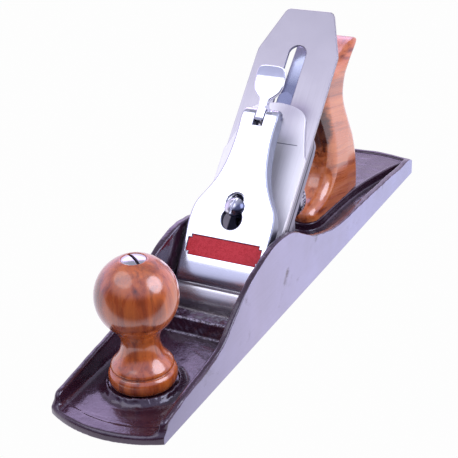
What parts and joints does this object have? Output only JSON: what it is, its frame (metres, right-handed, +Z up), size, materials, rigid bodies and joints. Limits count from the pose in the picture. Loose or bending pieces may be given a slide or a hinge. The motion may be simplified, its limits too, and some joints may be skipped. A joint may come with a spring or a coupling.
{
  "type": "bench hand plane",
  "caption": "Metal bench plane with a turned wooden front knob, a shaped wooden rear handle and an adjustable cutting iron under a lever cap.",
  "frame": {"origin": "middle of the sole's ground face, which is the bottom of the part", "axes": "+X to the left of a person pushing the plane, +Y towards the heel and the rear handle, the toe is at -Y, +Z up off the sole"},
  "size_m": [0.0636, 0.356, 0.1379],
  "materials": {
    "casting": "glossy dark maroon enamel with a fine orange peel on the inside and the edges; sole and outer cheek faces ground bright",
    "frog_metal": "grey finished casting, machined bed",
    "plated_steel": "plated screws, pins and pressed pieces",
    "wheel_metal": "bright turned and knurled",
    "polished_plating": "polished plating",
    "badge_enamel": "red paint on a finely stippled ground, left plain",
    "spring_steel": "tempered strip",
    "iron_steel": "satin, fine lengthwise grinding lines",
    "cap_iron_steel": "light satin, polished hump",
    "dark_steel": "blackened screw",
    "hardwood": "gloss varnished hardwood, orange-brown with dark streaks",
    "polished_nut": "polished nuts and screw heads"
  },
  "bodies": {
    "plane_body": {"body_casting": "casting", "frog_screws": "plated_steel", "frog_washers": "plated_steel", "front_knob": "hardwood", "knob_rod": "plated_steel", "knob_nut": "polished_nut", "tote": "hardwood", "tote_rod": "plated_steel", "tote_nut": "polished_nut"},
    "frog_group": {"frog": "frog_metal", "frog_adjusting_plate": "plated_steel", "frog_plate_screw": "plated_steel", "yoke_pin": "plated_steel", "depth_adjuster_stud": "plated_steel", "lateral_lever_rivet": "plated_steel", "lever_cap": "polished_plating", "lever_cap_badge": "badge_enamel", "lever_cap_spring": "spring_steel", "spring_rivet": "plated_steel", "cam_pin": "plated_steel"},
    "adjusting_screw": {"frog_adjusting_screw": "plated_steel"},
    "yoke": {"yoke_lever": "plated_steel"},
    "wheel_hub": {"depth_wheel_hub": "wheel_metal"},
    "wheel_rim": {"depth_wheel": "wheel_metal"},
    "clamp_screw": {"lever_cap_screw": "polished_plating"},
    "irons": {"cutting_iron": "iron_steel", "cap_iron": "cap_iron_steel", "cap_iron_screw": "dark_steel"},
    "lateral": {"lateral_lever": "plated_steel", "lateral_disc": "plated_steel", "lateral_disc_rivet": "plated_steel"},
    "cam": {"cam_lever": "polished_plating"}
  },
  "joints": [
    {"name": "frog_slide", "type": "slide", "parent": "plane_body", "child": "frog_group", "axis": [0, -1, 0], "range_m": [0, 0.001]},
    {"name": "adjusting_screw_turn", "type": "hinge", "parent": "frog_group", "child": "adjusting_screw", "pos_m": [0, 0.004, 0.0082], "axis": [0, -1, 0], "range_deg": [0, 341]},
    {"name": "wheel_turn", "type": "hinge", "parent": "wheel_hub", "child": "wheel_rim", "pos_m": [0, 0.03, 0.037], "axis": [0, -1, 0], "range_deg": [-301, 241]},
    {"name": "wheel_travel", "type": "slide", "parent": "frog_group", "child": "wheel_hub", "axis": [0, 1, 0], "range_m": [-0.0009, 0.00072]},
    {"name": "yoke_tilt", "type": "hinge", "parent": "frog_group", "child": "yoke", "pos_m": [0, 0.01727, 0.0502], "axis": [1, 0, 0], "range_deg": [-3.9, 3.2]},
    {"name": "blade_skew", "type": "hinge", "parent": "frog_group", "child": "clamp_screw", "pos_m": [0, -0.01702, 0.04278], "axis": [0, -0.7071, 0.7071], "range_deg": [-1.2, 1.2]},
    {"name": "blade_depth", "type": "slide", "parent": "clamp_screw", "child": "irons", "axis": [0, -0.7071, -0.7071], "range_m": [-0.00147, 0.00117]},
    {"name": "lateral_swing", "type": "hinge", "parent": "frog_group", "child": "lateral", "pos_m": [0, 0.0293, 0.08909], "axis": [0, -0.7071, 0.7071], "range_deg": [-9, 9]},
    {"name": "cam_lift", "type": "hinge", "parent": "frog_group", "child": "cam", "pos_m": [0, 0.00879, 0.09574], "axis": [1, 0, 0], "range_deg": [0, 90]}
  ],
  "couplings": [
    {"joint": "adjusting_screw_turn", "follows": "frog_slide", "rad_per_m": 5937},
    {"joint": "wheel_turn", "follows": "blade_depth", "rad_per_m": 3562.8},
    {"joint": "wheel_travel", "follows": "blade_depth", "ratio": 0.6},
    {"joint": "yoke_tilt", "follows": "blade_depth", "rad_per_m": 45.455},
    {"joint": "lateral_swing", "follows": "blade_skew", "ratio": -7.1875}
  ]
}
